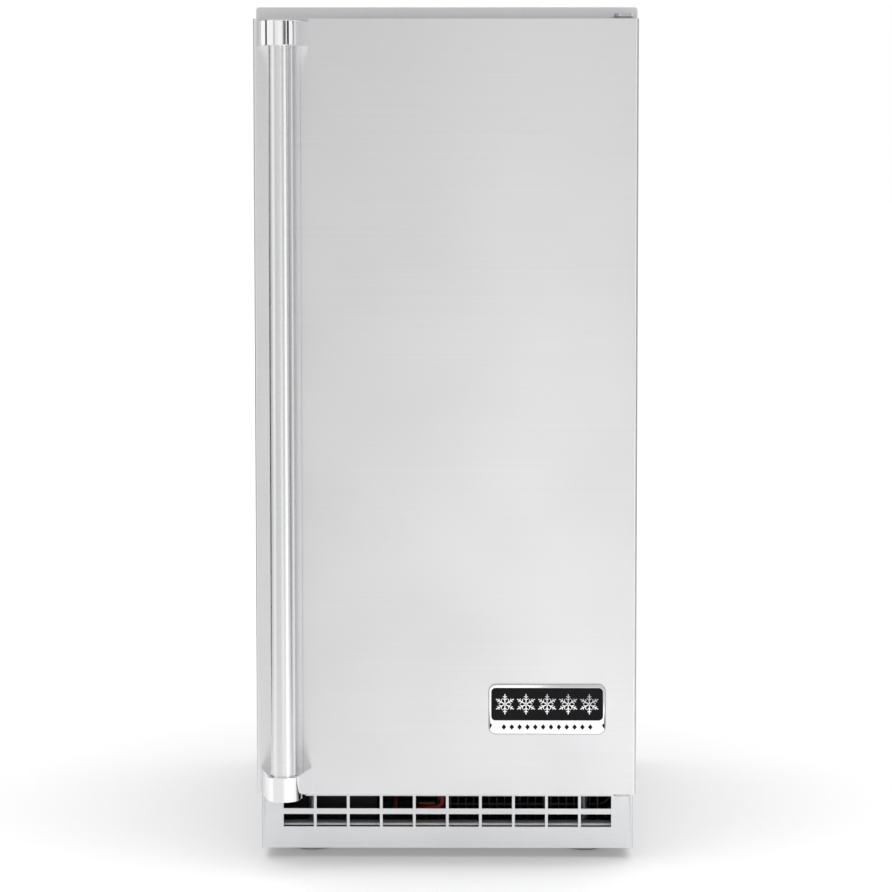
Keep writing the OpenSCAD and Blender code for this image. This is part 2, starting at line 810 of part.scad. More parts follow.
// The refrigerant tube that runs to and fro on the plate
module evaporator_coil() {
    r = coil_r;
    z = evap_z + 3 + r;
    half = coil_half;
    y0 = evap_y - (cup_rows - 1) / 2 * cup_pitch_y;
    color("peru") {
        for (j = [0:cup_rows - 1])
            translate([0, y0 + j * cup_pitch_y, z]) rod_x(evap_x - half, evap_x + half, r);
        for (j = [0:cup_rows - 2]) {
            right = j % 2 == 0;
            translate([evap_x + (right ? half : -half), y0 + (j + 0.5) * cup_pitch_y, z])
                rotate(right ? -90 : 90) rotate_extrude(angle = 180)
                    translate([cup_pitch_y / 2, 0]) circle(r);
        }
    }
}

// Slats that the ice slides down, out through the curtain
module ice_chute() {
    lean = 12;
    run = 300;
    bar_half = shroud_half - 2.8;
    color("whitesmoke") translate([0, shroud_front_y + 4, sump_top_z + 8]) rotate([lean, 0, 0]) {
        for (i = [-6:9]) block([i * 13 - 1.5, 0, 0], [i * 13 + 1.5, run, 6]);
        for (y = [6, run / 2, run - 10]) block([-bar_half, y, -2], [bar_half, y + 5, 2]);
    }
}

// The spray bars under the chute, one jet below each cup
module spray_manifold() {
    z = sump_top_z - 24;
    back = evap_y + cup_rows / 2 * cup_pitch_y - 14;
    cols = [for (i = [0:cup_cols - 1]) evap_x + (i - (cup_cols - 1) / 2) * cup_pitch_x];
    color("white") {
        translate([0, spray_y, z]) rod_x(spray_x, cols[cup_cols - 1] + 8, 7);
        for (x = cols) translate([x, 0, z]) rod_y(spray_y, back, 5);
        for (p = cup_spots()) translate([p.x, p.y, z]) cylinder(r1 = 3.6, r2 = 2.2, h = 11);
    }
}

// The water reservoir
module water_sump() {
    w = shroud_half - 3.5;
    t = 3;
    front = shroud_front_y + 12;
    rear = shroud_back_y - 4;
    color("white") difference() {
        block([-w, front, shroud_low_z + 2], [w, rear, sump_top_z]);
        block([-w + t, front + t, shroud_low_z + 2 + t], [w - t, rear - t, sump_top_z + 1]);
    }
}

// The upright pump: motor above, wet end in the sump, and its outlet to the spray bars
module water_pump() {
    x = -112;
    y = shroud_front_y + 62;
    z = sump_top_z - 24;
    color("dimgray") {
        translate([x, y, 0]) {
            rod_z(sump_top_z + 22, sump_top_z + 74, 20);
            rod_z(sump_top_z + 74, sump_top_z + 78, 12);
            rod_z(z + 6, sump_top_z + 23, 6);
            rod_z(shroud_low_z + 8, z + 7, 17);
        }
        translate([0, spray_y, z]) rod_x(x, spray_x, 4);
        translate([x, 0, z]) rod_y(spray_y - 3, y, 4);
    }
}

// The steel rod that carries the curtain
module curtain_rod() {
    color("lightgray") translate([0, curtain_y, curtain_z]) rod_x(-shroud_half - 2, shroud_half + 2, rod_r);
}

// The splash curtain: a row of strips that hang from a sleeve on the rod
module curtain() {
    half = shroud_half - 12;
    strips = 8;
    pitch = 2 * half / strips;
    color("white") difference() {
        union() {
            translate([0, curtain_y, curtain_z]) rod_x(-half, half, 5);
            block([-half, curtain_y - 1.1, curtain_z - curtain_h], [half, curtain_y + 1.1, curtain_z - 3]);
            for (i = [0:strips - 1])
                block([-half + (i + 0.5) * pitch - 1, curtain_y - 2.4, curtain_z - curtain_h + 6],
                      [-half + (i + 0.5) * pitch + 1, curtain_y, curtain_z - 10]);
        }
        translate([0, curtain_y, curtain_z]) rod_x(-half - 1, half + 1, rod_r + run_gap);
        for (i = [1:strips - 1])
            block([-half + i * pitch - 0.75, curtain_y - 6, curtain_z - curtain_h - 1],
                  [-half + i * pitch + 0.75, curtain_y + 6, curtain_z - 14]);
    }
}

// ---- Controls ----

// The panel that fills the top of the mouth and holds the buttons and the lamp
module control_fascia() {
    deep = 24;
    t = 2.5;
    color("gainsboro") difference() {
        fascia_solid(0.5, fascia_y, fascia_y + deep, fascia_low_z);
        fascia_solid(0.5 + t, fascia_y + t, fascia_y + deep + 1, fascia_low_z + t);
        for (x = [power_x, clean_x])
            translate([x, 0, button_z]) rod_y(fascia_y - 1, fascia_y + t + 1, button_r + 0.3);
        block([-60, fascia_y + 8, fascia_low_z - 1], [60, fascia_y + 20, fascia_low_z + 4]);
    }
}

// The part of the mouth's outline above a level, drawn in by a margin
module fascia_solid(margin, y0, y1, low) {
    mouth_h = bin_top_z - sill_z;
    intersection() {
        translate([0, 0, sill_z + mouth_h / 2])
            along_y(y0, y1) rounded(bin_w - 2 * margin, mouth_h - 2 * margin, corner_r - margin);
        block([-bin_w, y0 - 1, low], [bin_w, y1 + 1, top_z]);
    }
}

// A push button: a cap through the fascia and a wider collar behind it
module push_button(x) {
    translate([x, 0, button_z]) {
        rod_y(fascia_y - 2.6, fascia_y + 6, button_r);
        rod_y(fascia_y + 3, fascia_y + 6, button_r + 2);
    }
}
module power_button() {
    color("dimgray") push_button(power_x);
}
module clean_button() {
    color("dimgray") push_button(clean_x);
}

// The lamp's lens under the fascia, and its tail inside
module interior_lamp() {
    color("white")
        block([-59.5, fascia_y + 8.5, fascia_low_z - 2], [59.5, fascia_y + 19.5, fascia_low_z + 6]);
}

// The bin's level sensor: a bulb in two clips on the right wall
module bin_thermostat() {
    x = bin_half - 9;
    z = shroud_low_z - 26;
    color("peru") translate([x, 0, z]) rod_y(-120, 10, 4);
    color("white") for (y = [-105, -20])
        difference() {
            block([x - 7, y, z - 7], [bin_half - 0.1, y + 10, z + 7]);
            translate([x, 0, z]) rod_y(y - 1, y + 11, 4.02);
        }
}

// ---- Scoop ----

// A tray on the wall that the scoop stands in
module scoop_holder() {
    t = 2;
    wall = -bin_half + 0.1;
    color("white") difference() {
        block([wall, scoop_y - scoop_w / 2 - 5, scoop_z - 4],
              [scoop_x + scoop_deep + 4, scoop_y + scoop_w / 2 + 5, scoop_z + 30]);
        block([wall + t, scoop_y - scoop_w / 2 - 3, scoop_z - 0.3],
              [scoop_x + scoop_deep + 2, scoop_y + scoop_w / 2 + 3, scoop_z + 31]);
    }
}

// The scoop, bowl down and handle up
module scoop() {
    t = scoop_wall;
    high = scoop_z + scoop_bowl_h;
    color("aliceblue") {
        difference() {
            block([scoop_x, scoop_y - scoop_w / 2, scoop_z],
                  [scoop_x + scoop_deep, scoop_y + scoop_w / 2, high]);
            block([scoop_x + t, scoop_y - scoop_w / 2 + t, scoop_z - 1],
                  [scoop_x + scoop_deep + 1, scoop_y + scoop_w / 2 - t, high - t]);
            translate([0, 0, scoop_z]) along_y(scoop_y - scoop_w, scoop_y + scoop_w)
                polygon([[scoop_x + 14, -1], [scoop_x + scoop_deep + 1, 52],
                         [scoop_x + scoop_deep + 1, -1]]);
        }
        translate([scoop_x + 12, scoop_y, 0]) rod_z(high - 1, high + 60, 9);
    }
}

// ---- Water ----

// The bin's drain: a flanged strainer over a pipe through the floor
module bin_drain() {
    color("white") translate([drain_x, drain_y, 0]) difference() {
        union() {
            rod_z(bin_floor_z + 0.1, bin_floor_z + 2.6, 22);
            rod_z(bay_top_z - 14, bin_floor_z + 1, 10);
        }
        rod_z(bay_top_z - 15, bin_floor_z + 0.6, 7.5);
        for (a = [0:60:300]) rotate(a) translate([4.5, 0, 0]) rod_z(bin_floor_z - 1, bin_floor_z + 4, 1.6);
    }
}

// The hose from the bin's drain to the outlet in the recess
module drain_hose() {
    color("white") {
        pipe([[drain_x, drain_y, bay_top_z - 14.2], [drain_x, drain_y, outlet_z],
              [drain_x, recess_y - 1.5, outlet_z]], 9, 40, sides = 16, n = 8);
        translate([drain_x, 0, outlet_z]) rod_y(recess_y - 1.6, recess_y + 30, 8);
        translate([drain_x, 0, outlet_z]) rod_y(recess_y + 0.3, recess_y + 2, 11);
    }
}

// The solenoid valve behind the recess, with its threaded inlet through the wall
module water_inlet_valve() {
    color("royalblue") translate([inlet_x, 0, outlet_z]) {
        rod_y(recess_y - 5, recess_y + 6, 9);
        rod_y(recess_y + 5, recess_y + 20, inlet_r);
        block([-14, recess_y - 40, -14], [14, recess_y - 4, 14]);
        translate([0, recess_y - 22, 0]) rod_z(10, 40, 13);
        rod_y(recess_y - 60, recess_y - 38, 5);
    }
}

// The tube from the valve up behind the bin to a spout over the sump
module water_fill_line() {
    c = risers()[2];
    color("white") pipe([
        [inlet_x, recess_y - 60.2, outlet_z], [inlet_x, 205, outlet_z], [inlet_x, 205, 165],
        [c[0], 205, 165], [c[0], c[1], 165], [c[0], c[1], c[2]], [c[0], 215, c[2]], [c[0], 215, c[2] - 45]
    ], c[3], 12);
}

// ---- Machine bay ----

// The compressor's welded shell on its base plate, with its two tube stubs
module compressor() {
    color("black") translate([compressor_x, compressor_y, 0]) {
        rotate_extrude() polygon([
            [0, 32], [44, 32], [56, 38], [60, 50], [60, 120], [56, 138], [44, 150], [26, 157], [0, 160]
        ]);
        block([-72, -52, 28], [72, 52, 32.5]);
        translate([-30, -44, 0]) rod_z(140, 166, 3.5);
        translate([34, -34, 0]) rod_z(140, 166, 4.5);
    }
}

// Rubber mounts under the compressor's base plate
module compressor_grommets() {
    color("gray") for (x = [-62, 62], y = [-42, 42])
        translate([compressor_x + x, compressor_y + y, 0]) rod_z(pan_z + 1.5, 28, 8);
}

// The cover over the compressor's terminals and start relay
module terminal_cover() {
    color("dimgray")
        block([compressor_x - 82, compressor_y - 22, 66], [compressor_x - 60.5, compressor_y + 22, 122]);
}

// Finned coil of the condenser
module condenser() {
    deep = 40;
    low = condenser_low;
    step = condenser_step;
    high = low + condenser_rows * step;
    end = condenser_half - 10;
    stub = end + 4;
    color("gray") {
        for (x = [14 - condenser_half:8:condenser_half - 14])
            block([condenser_x + x - 0.4, condenser_y - deep / 2, low],
                  [condenser_x + x + 0.4, condenser_y + deep / 2, high]);
        for (side = [-1, 1])
            block([condenser_x + side * end - 0.8, condenser_y - deep / 2 - 2, low - 5],
                  [condenser_x + side * end + 0.8, condenser_y + deep / 2 + 2, high + 2]);
        for (i = [0:condenser_rows - 1])
            translate([condenser_x, condenser_y, low + (i + 0.5) * step])
                rod_x(i == 0 ? -stub : -end, i == condenser_rows - 1 ? stub : end, 4);
        for (i = [0:condenser_rows - 2]) {
            right = i % 2 == 0;
            translate([condenser_x + (right ? 1 : -1) * (end - 0.5), condenser_y, low + (i + 1) * step])
                rotate([90, 0, 0]) rotate(right ? -90 : 90) rotate_extrude(angle = 180)
                    translate([step / 2, 0]) circle(4);
        }
    }
}

// The sheet behind the condenser that holds the fan
module fan_shroud() {
    low = pan_z + 2;
    high = bay_top_z - 3;
    y = condenser_y + 24;
    color("gray") difference() {
        union() {
            block([condenser_x - condenser_half, y, low], [condenser_x + condenser_half, y + 1.5, high]);
            translate([condenser_x, 0, fan_z]) rod_y(y, y + 20, fan_r + 4.5);
        }
        translate([condenser_x, 0, fan_z]) rod_y(y - 1, y + 21, fan_r + 3);
    }
}

// Five pitched blades on a hub that turns on the motor's shaft
module condenser_fan() {
    color("black") translate([condenser_x, fan_y, fan_z]) {
        difference() {
            union() {
                rod_y(-9, 9, 16);
                intersection() {
                    for (a = [0:72:288]) rotate([0, a, 0]) translate([38, 0, 0]) rotate([28, 0, 0])
                        cube([60, 2, 38], center = true);
                    rod_y(-14, 14, fan_r);
                }
            }
            rod_y(-10, 20, 3 + run_gap);
        }
    }
}

// The fan's motor, its shaft and the three arms that hold it
module fan_motor() {
    color("silver") translate([condenser_x, fan_y, fan_z]) {
        rod_y(-6, 16, 3);
        rod_y(15, 52, 30);
        for (a = [90, 210, 330]) rotate([0, a, 0]) block([20, 24, -4], [fan_r + 8, 26, 4]);
        for (a = [90, 210, 330]) rotate([0, a, 0]) block([fan_r + 4.6, -20.3, -4], [fan_r + 8, 26, 4]);
    }
}

// Copper lines: compressor to condenser, condenser through the drier to the evaporator, and back
module refrigerant_lines() {
    r = 3.2;
    cx = compressor_x;
    cy = compressor_y;
    coil_z = evap_z + 3 + coil_r;
    coil_x = evap_x - coil_half - 0.2;
    coil_y = evap_y - (cup_rows - 1) / 2 * cup_pitch_y;
    feed = risers()[0];
    back = risers()[1];
    under = bay_top_z - 9.5;
    low_tube_z = condenser_low + condenser_step / 2;
    high_tube_z = condenser_low + (condenser_rows - 0.5) * condenser_step;
    tube_end = condenser_half - 6;
    drier_x = -35;
    color("peru") {
        pipe([
            [cx - 30, cy - 44, 166.5], [cx - 30, cy - 44, 178], [cx - 30, 100, 178], [174, 100, 178],
            [174, 80, high_tube_z], [174, condenser_y, high_tube_z],
            [condenser_x + tube_end + 0.2, condenser_y, high_tube_z]
        ], r, 5);
        pipe([
            [condenser_x - tube_end - 0.2, condenser_y, low_tube_z], [drier_x, condenser_y, low_tube_z],
            [drier_x, 60, low_tube_z], [drier_x, 75, 60], [drier_x, 95.2, 60]
        ], r, 8);
        translate([drier_x, 0, 60]) rod_y(95, 165, 11);
        pipe([
            [drier_x, 164.8, 60], [drier_x, 185, 60], [drier_x, 185, under], [feed[0], 185, under],
            [feed[0], feed[1], under], [feed[0], feed[1], coil_z],
            [feed[0], coil_y + (cup_rows - 1) * cup_pitch_y, coil_z],
            [coil_x, coil_y + (cup_rows - 1) * cup_pitch_y, coil_z]
        ], r, 9);
        pipe([
            [cx + 34, cy - 34, 166.5], [cx + 34, cy - 34, under], [cx + 34, back[1], under],
            [back[0], back[1], under], [back[0], back[1], coil_z], [back[0], coil_y, coil_z],
            [coil_x, coil_y, coil_z]
        ], r + 1, 9);
    }
}

// The box for the control board, with its lid
module electrical_box() {
    color("darkgray") {
        block([-165, -120, pan_z + 4], [-75, -30, 150]);
        block([-168, -123, 146], [-72, -27, 151]);
    }
}

// Wires from the electrical box to the fan's motor and to the compressor's terminals
module wire_harness() {
    r = 2.2;
    bend = 7;
    loop_y = condenser_y - 36;
    motor_y = fan_y + 36;
    color("firebrick") {
        pipe([
            [-75, -80, 60], [-55, -80, 60], [-55, loop_y, 36], [-6, loop_y, 42], [-6, loop_y, 60],
            [-27, loop_y, 62], [-27, motor_y, 62], [-27, motor_y, 100], [condenser_x - 30.2, motor_y, 100]
        ], r, bend);
        pipe([
            [-75, -60, 110], [-50, -60, 110], [-50, 120, 110], [-10, 120, 110],
            [-10, compressor_y, 110], [compressor_x - 82, compressor_y, 110]
        ], r, bend);
    }
}

// The bush that the supply cord passes through
module cord_gland() {
    color("black") translate([gland_x, 0, gland_z]) difference() {
        union() {
            rod_y(back_y - 12, back_y + 0.1, 8);
            rod_y(back_y, rear_y - 0.1, 11);
            rod_y(back_y - sheet - 3, back_y - sheet, 10.5);
        }
        rod_y(back_y - 20, rear_y + 1, gland_bore_r);
    }
}

// ---- Node switch ----

side_panel(-1);  // left_side_panel
side_panel(1);  // right_side_panel
top_panel();
back_panel();
rear_service_panel();
front_frame();
kick_plate();
base_pan();
cabinet_screws();
cabinet_insulation();
bin_liner();
upper_hinge();
lower_hinge();
freeze_shroud();
evaporator_plate();
evaporator_coil();
ice_chute();
spray_manifold();
water_sump();
water_pump();
curtain_rod();
curtain();
control_fascia();
power_button();
clean_button();
interior_lamp();
bin_thermostat();
scoop_holder();
scoop();
bin_drain();
drain_hose();
compressor();
compressor_grommets();
terminal_cover();
condenser();
fan_shroud();
condenser_fan();
fan_motor();
refrigerant_lines();
water_inlet_valve();
water_fill_line();
electrical_box();
wire_harness();
cord_gland();
leveler_front_left();
leveler_front_right();
leveler_rear_left();
leveler_rear_right();
door_skin();
door_end_caps();
door_insulation();
door_liner();
door_gasket();
door_bushes();
handle_tube();
handle_bracket_upper();
handle_bracket_lower();
handle_screws();
badge_plate();
badge_inset();
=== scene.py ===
import math

import bmesh
import bpy
from mathutils import Matrix, Vector


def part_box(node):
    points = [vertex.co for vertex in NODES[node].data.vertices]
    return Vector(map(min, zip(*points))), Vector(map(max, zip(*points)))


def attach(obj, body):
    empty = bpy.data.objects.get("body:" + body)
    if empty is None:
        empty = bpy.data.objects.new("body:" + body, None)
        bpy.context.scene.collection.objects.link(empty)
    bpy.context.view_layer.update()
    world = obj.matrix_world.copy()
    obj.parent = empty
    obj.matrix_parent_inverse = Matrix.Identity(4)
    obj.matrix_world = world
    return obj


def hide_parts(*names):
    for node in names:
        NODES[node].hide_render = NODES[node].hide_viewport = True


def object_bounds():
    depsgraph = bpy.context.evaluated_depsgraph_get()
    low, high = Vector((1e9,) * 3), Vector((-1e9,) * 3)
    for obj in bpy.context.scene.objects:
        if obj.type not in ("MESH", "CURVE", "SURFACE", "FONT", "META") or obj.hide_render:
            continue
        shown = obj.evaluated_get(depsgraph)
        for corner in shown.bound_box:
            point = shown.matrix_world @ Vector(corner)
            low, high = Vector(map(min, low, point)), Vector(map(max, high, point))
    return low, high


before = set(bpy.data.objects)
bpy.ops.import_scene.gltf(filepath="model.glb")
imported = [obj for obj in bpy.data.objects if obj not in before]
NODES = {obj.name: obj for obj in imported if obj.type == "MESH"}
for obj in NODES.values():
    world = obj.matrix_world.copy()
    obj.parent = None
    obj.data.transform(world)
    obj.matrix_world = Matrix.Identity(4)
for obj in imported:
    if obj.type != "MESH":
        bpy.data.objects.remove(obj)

# The looks of an under-counter ice maker, in metres and in the CAD frame: the door faces -Y.
cad_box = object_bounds()
MM = 0.001

# ---- Places that the pieces are built from ----
door_lo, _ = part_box("door_skin")
tube_lo, tube_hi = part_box("handle_tube")
kick_lo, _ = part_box("kick_plate")
badge_lo, badge_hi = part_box("badge_plate")
inset_lo, inset_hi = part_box("badge_inset")


def middle(lo, hi):
    return (lo + hi) / 2


# ---- Camera ----

# Fitted to corners measured in the photograph, with the shift held to 0.03
CAMERA_PLACE = Vector((0.0527, door_lo.y - 3.3394, 0.7382))
CAMERA_PITCH = math.radians(4.9055)
CAMERA_TURN = math.radians(0.456)
CAMERA_FOCAL = 3.8078
CAMERA_SHIFT = -0.03
SENSOR_WIDTH = 36.0
CLIP_END = 100


def make_camera():
    data = bpy.data.cameras.new("camera")
    data.sensor_width = SENSOR_WIDTH
    data.lens = CAMERA_FOCAL * data.sensor_width
    data.shift_x = CAMERA_SHIFT
    data.shift_y = CAMERA_SHIFT
    data.clip_end = CLIP_END
    camera = bpy.data.objects.new("camera", data)
    camera.location = CAMERA_PLACE
    camera.rotation_euler = (math.pi / 2 - CAMERA_PITCH, 0, CAMERA_TURN)
    bpy.context.scene.collection.objects.link(camera)
    bpy.context.scene.camera = camera


make_camera()


# ---- Materials ----

class Finish:
    """A material's node tree, with one short call for each kind of node that the finishes use."""

    def __init__(self, name, color, metallic=0.0, roughness=0.5):
        self.material = bpy.data.materials.new(name)
        self.material.use_nodes = True
        self.tree = self.material.node_tree
        self.shader = self.tree.nodes["Principled BSDF"]
        self.color = color
        self.shader.inputs["Base Color"].default_value = (*color, 1)
        self.shader.inputs["Metallic"].default_value = metallic
        self.shader.inputs["Roughness"].default_value = roughness
        self.place = self.tree.nodes.new("ShaderNodeTexCoord").outputs["Object"]

    def node(self, kind, **inputs):
        made = self.tree.nodes.new(kind)
        for key, value in inputs.items():
            made.inputs[key].default_value = value
        return made

    def join(self, source, socket):
        self.tree.links.new(source, socket)

    def stretched(self, x, y, z):
        """The object's coordinates, each axis multiplied by its own number of waves in a metre."""
        mapping = self.node("ShaderNodeMapping")
        mapping.inputs["Scale"].default_value = (x, y, z)
        self.join(self.place, mapping.inputs["Vector"])
        return mapping.outputs["Vector"]

    def noise(self, vector, scale=1.0, detail=3.0, rough=0.55):
        made = self.node("ShaderNodeTexNoise", Scale=scale, Detail=detail, Roughness=rough)
        self.join(vector, made.inputs["Vector"])
        return made.outputs["Fac"]

    def cells(self, vector, scale):
        made = self.node("ShaderNodeTexVoronoi", Scale=scale)
        self.join(vector, made.inputs["Vector"])
        return made

    def span(self, source, low, high, start=0.3, stop=0.7):
        """The source's range from start to stop, taken to low and high."""
        made = self.node("ShaderNodeMapRange")
        made.inputs["From Min"].default_value = start
        made.inputs["From Max"].default_value = stop
        made.inputs["To Min"].default_value = low
        made.inputs["To Max"].default_value = high
        self.join(source, made.inputs["Value"])
        return made.outputs["Result"]

    def shades(self, source, dark, light):
        """The base colour, from dark to light times itself as the source goes from 0 to 1."""
        made = self.node("ShaderNodeMix")
        made.data_type = "RGBA"
        made.inputs[6].default_value = (*[c * dark for c in self.color], 1)
        made.inputs[7].default_value = (*[min(c * light, 1) for c in self.color], 1)
        self.join(source, made.inputs[0])
        self.join(made.outputs[2], self.shader.inputs["Base Color"])

    def rough(self, source):
        self.join(source, self.shader.inputs["Roughness"])

    def bump(self, source, strength, distance):
        made = self.node("ShaderNodeBump", Strength=strength, Distance=distance)
        self.join(source, made.inputs["Height"])
        self.join(made.outputs["Normal"], self.shader.inputs["Normal"])

    def grain(self, axis, sharpness):
        """Reflections drawn out across a brushed grain. The grain turns about the given axis."""
        tangent = self.node("ShaderNodeTangent")
        tangent.direction_type = "RADIAL"
        tangent.axis = axis
        self.shader.inputs["Anisotropic Rotation"].default_value = 0.25
        self.join(tangent.outputs["Tangent"], self.shader.inputs["Tangent"])
        self.shader.inputs["Anisotropic"].default_value = sharpness


def brushed(name, color, roughness, waves, axis="Z", sharpness=0.8, depth=0.05):
    """Brushed sheet steel: long fine scratches, a slow cloudiness and reflections drawn across the grain."""
    f = Finish(name, color, metallic=1.0, roughness=roughness)
    scratches = f.noise(f.stretched(*waves), detail=4.0, rough=0.7)
    clouds = f.noise(f.place, scale=7.0, detail=2.0)
    f.shades(f.span(scratches, 0, 1), 0.965, 1.02)
    f.rough(f.span(clouds, roughness * 0.92, roughness * 1.08))
    f.bump(scratches, depth, 0.0002)
    f.grain(axis, sharpness)
    return f.material


def polished(name, color, roughness):
    """Plated or polished metal, with a faint haze that comes and goes."""
    f = Finish(name, color, metallic=1.0, roughness=roughness)
    haze = f.noise(f.place, scale=38.0, detail=4.0)
    f.rough(f.span(haze, roughness * 0.7, roughness * 1.5))
    f.shades(haze, 0.985, 1.01)
    return f.material


def galvanised(name, color, roughness=0.42):
    """Zinc-coated sheet: small spangles that differ in tone and gloss."""
    f = Finish(name, color, metallic=1.0, roughness=roughness)
    spangle = f.cells(f.place, 140.0)
    tone = f.node("ShaderNodeSeparateColor")
    f.join(spangle.outputs["Color"], tone.inputs["Color"])
    f.shades(tone.outputs["Red"], 0.86, 1.08)
    f.rough(f.span(tone.outputs["Green"], roughness - 0.1, roughness + 0.12, 0, 1))
    f.bump(f.noise(f.place, scale=60.0), 0.05, 0.0004)
    return f.material


def moulded(name, color, roughness, texture=380.0, depth=0.04, gloss=0.0):
    """Moulded plastic: a fine spark texture and a slight change of tone."""
    f = Finish(name, color, roughness=roughness)
    f.shader.inputs["Coat Weight"].default_value = gloss
    f.shader.inputs["Coat Roughness"].default_value = 0.12
    f.shades(f.noise(f.place, scale=9.0, detail=3.0), 0.955, 1.03)
    f.rough(f.span(f.noise(f.place, scale=45.0), roughness * 0.88, roughness * 1.12))
    f.bump(f.noise(f.place, scale=texture, detail=1.0), depth, 0.0002)
    return f.material


def enamel(name, color, roughness, peel=0.12):
    """Sprayed paint, with its orange peel."""
    f = Finish(name, color, roughness=roughness)
    f.shader.inputs["Coat Weight"].default_value = 0.35
    f.shades(f.noise(f.place, scale=14.0), 0.93, 1.06)
    f.rough(f.span(f.noise(f.place, scale=80.0), roughness * 0.85, roughness * 1.2))
    f.bump(f.noise(f.place, scale=420.0, detail=1.5), peel, 0.0006)
    return f.material


def coppery(name, color, roughness):
    """Copper tube: bright metal with darker, duller patches where it has been handled or heated."""
    f = Finish(name, color, metallic=1.0, roughness=roughness)
    patches = f.noise(f.place, scale=26.0, detail=5.0, rough=0.65)
    f.shades(f.span(patches, 0, 1), 0.62, 1.08)
    f.rough(f.span(patches, roughness * 1.5, roughness * 0.8))
    return f.material


def rubbery(name, color, roughness=0.7):
    """Rubber or soft vinyl: dull, with a dusty bloom and a fine grain."""
    f = Finish(name, color, roughness=roughness)
    f.shader.inputs["Sheen Weight"].default_value = 0.15
    f.shades(f.noise(f.place, scale=30.0, detail=4.0), 0.85, 1.12)
    f.rough(f.span(f.noise(f.place, scale=70.0), roughness * 0.9, roughness * 1.1))
    f.bump(f.noise(f.place, scale=700.0), 0.15, 0.0004)
    return f.material


def foamed(name, color):
    """Rigid foam with open cells where it was cut."""
    f = Finish(name, color, roughness=0.9)
    pores = f.cells(f.place, 520.0)
    f.shades(f.noise(f.place, scale=18.0, detail=4.0), 0.85, 1.06)
    f.bump(pores.outputs["Distance"], 0.5, 0.0008)
    return f.material


def clear(name, color, roughness=0.12, passes=0.75):
    """Clear plastic with faint flow marks."""
    f = Finish(name, color, roughness=roughness)
    f.shader.inputs["Transmission Weight"].default_value = passes
    f.shader.inputs["IOR"].default_value = 1.46
    flow = f.noise(f.stretched(12, 12, 60), detail=3.0)
    f.rough(f.span(flow, roughness * 0.7, roughness * 1.4))
    f.bump(flow, 0.06, 0.001)
    return f.material


# The door's roughness stays above about 0.274 all over. Thin lines showed where it crossed that value.
M = {
    "stainless": brushed("door_steel", (0.86, 0.86, 0.87), 0.298, (4, 60, 2600), sharpness=1.0, depth=0.03),
    "frame_steel": brushed("frame_steel", (0.74, 0.74, 0.75), 0.36, (5, 60, 2200)),
    "kick_steel": brushed("kick_steel", (0.78, 0.79, 0.80), 0.34, (5, 60, 2400)),
    "sheet_steel": brushed("sheet_steel", (0.56, 0.56, 0.58), 0.42, (60, 5, 2000), sharpness=0.6),
    "lid_steel": brushed("lid_steel", (0.76, 0.76, 0.78), 0.42, (1800, 5, 60), axis="X", sharpness=0.5),
    "zinc": galvanised("zinc_sheet", (0.62, 0.63, 0.65)),
    "chrome": polished("bright_chrome", (0.90, 0.90, 0.91), 0.05),
    "tube_chrome": brushed("tube_satin", (0.86, 0.86, 0.87), 0.24, (90, 90, 2400),
                           sharpness=0.97, depth=0.02),
    "dark_steel": enamel("hinge_black", (0.045, 0.045, 0.05), 0.38),
    "black_enamel": enamel("compressor_black", (0.018, 0.018, 0.02), 0.22, peel=0.2),
    # The condenser fins' near-black colour is partly a dark coating and partly painted shade of the machine
    # bay.
    "fins": brushed("fin_coating_and_shade", (0.10, 0.10, 0.105), 0.4, (200, 40, 300), sharpness=0.3),
    # The rail's near-white colour is a painted highlight on the chassis's front lip.
    "rail_painted_highlight": moulded("rail_painted_highlight", (0.90, 0.91, 0.92), 0.35, gloss=0.3),
    # The chassis finish's near-black colour is painted shade: it darkens the base pan, fan shroud and
    # electrical box to stand for the shade inside the machine bay.
    "chassis": enamel("chassis_painted_shade", (0.035, 0.035, 0.038), 0.42),
    "copper": coppery("copper_tube", (0.80, 0.42, 0.27), 0.24),
    "white_abs": moulded("white_liner", (0.88, 0.89, 0.90), 0.42, texture=160.0, depth=0.008),
    "grey_plastic": moulded("grey_plastic", (0.24, 0.245, 0.25), 0.45),
    "black_plastic": moulded("black_plastic", (0.022, 0.022, 0.024), 0.42),
    "blue_plastic": moulded("blue_plastic", (0.03, 0.11, 0.36), 0.4),
    "badge_black": moulded("badge_black", (0.006, 0.006, 0.007), 0.3, texture=200.0, depth=0.01),
    "foam": foamed("cabinet_foam", (0.78, 0.68, 0.40)),
    "gasket": rubbery("gasket_grey", (0.30, 0.30, 0.31)),
    "black_rubber": rubbery("black_rubber", (0.02, 0.02, 0.02)),
    "hose": rubbery("hose_white", (0.74, 0.75, 0.74), 0.45),
    "wire": rubbery("wire_red", (0.50, 0.02, 0.015), 0.4),
    "clear": clear("clear_vinyl", (0.90, 0.95, 0.98)),
    "scoop_clear": clear("scoop_plastic", (0.80, 0.90, 0.97), 0.18, 0.6),
    "lens": moulded("lamp_lens", (0.92, 0.93, 0.94), 0.2, gloss=0.4),
}

# The badge's field hardly reflects, and the lamp's lens is lit
BADGE_SPECULAR = 0.08
LAMP_STRENGTH = 16.0
badge_inputs = M["badge_black"].node_tree.nodes["Principled BSDF"].inputs
badge_inputs["Specular IOR Level"].default_value = BADGE_SPECULAR
lamp_inputs = M["lens"].node_tree.nodes["Principled BSDF"].inputs
lamp_inputs["Emission Color"].default_value = (1, 1, 1, 1)
lamp_inputs["Emission Strength"].default_value = LAMP_STRENGTH

